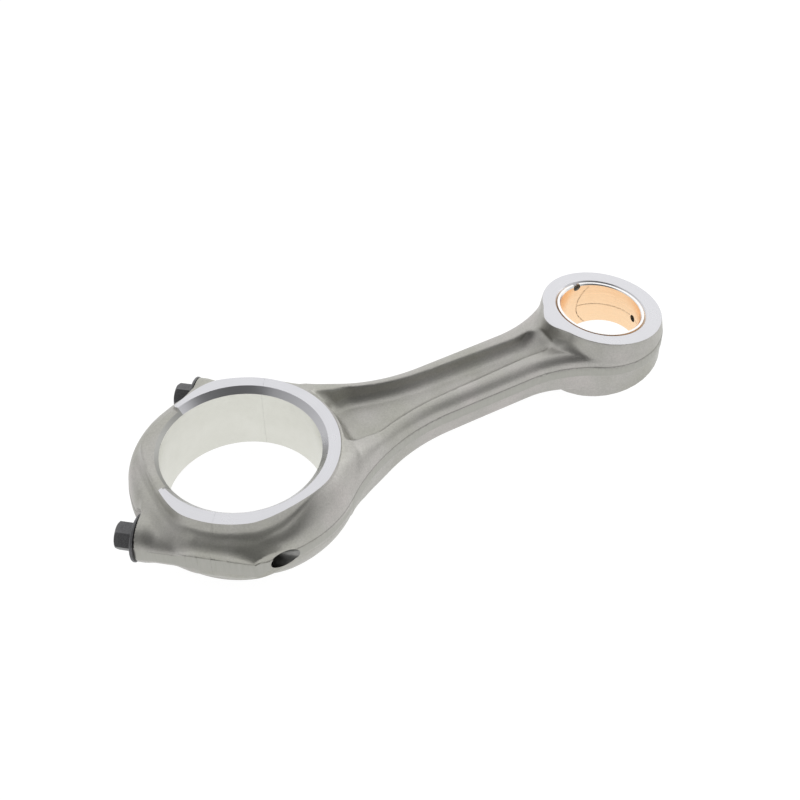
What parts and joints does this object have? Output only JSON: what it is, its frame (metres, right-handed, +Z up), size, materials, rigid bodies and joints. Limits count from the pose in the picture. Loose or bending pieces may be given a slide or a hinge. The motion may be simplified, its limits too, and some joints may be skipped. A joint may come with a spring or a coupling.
{
  "type": "connecting rod",
  "caption": "Obliquely split diesel connecting rod: forged I-section shank, bolted cap on the big end, bronze-lined bush in a tapered small end.",
  "frame": {"origin": "centre of the bounding box at the lower big-end thrust face, on which the rod lies flat", "axes": "+X from the big end to the small end, +Z up along both bores, and the split plane's normal lies in the XY plane, 40.5 degrees from X"},
  "size_m": [0.3844, 0.1574, 0.0488],
  "materials": {
    "forged_steel": "shot-blasted forging skin with bright machined faces",
    "black_steel": "black phosphate, oiled",
    "bearing_bronze": "fine-bored bronze lining in a steel back"
  },
  "bodies": {
    "rod": {"rod_forging": "forged_steel", "small_end_bush": "bearing_bronze"},
    "cap": {"rod_cap": "forged_steel"},
    "bolt_near": {"cap_bolt_near": "black_steel"},
    "bolt_far": {"cap_bolt_far": "black_steel"}
  },
  "joints": [
    {"name": "cap_removal", "type": "slide", "parent": "rod", "child": "cap", "axis": [-0.7604, 0.6494, 0], "range_m": [0, 0.06]},
    {"name": "bolt_near_removal", "type": "slide", "parent": "cap", "child": "bolt_near", "axis": [-0.7604, 0.6494, 0], "range_m": [0, 0.08]},
    {"name": "bolt_far_removal", "type": "slide", "parent": "cap", "child": "bolt_far", "axis": [-0.7604, 0.6494, 0], "range_m": [0, 0.08]}
  ]
}
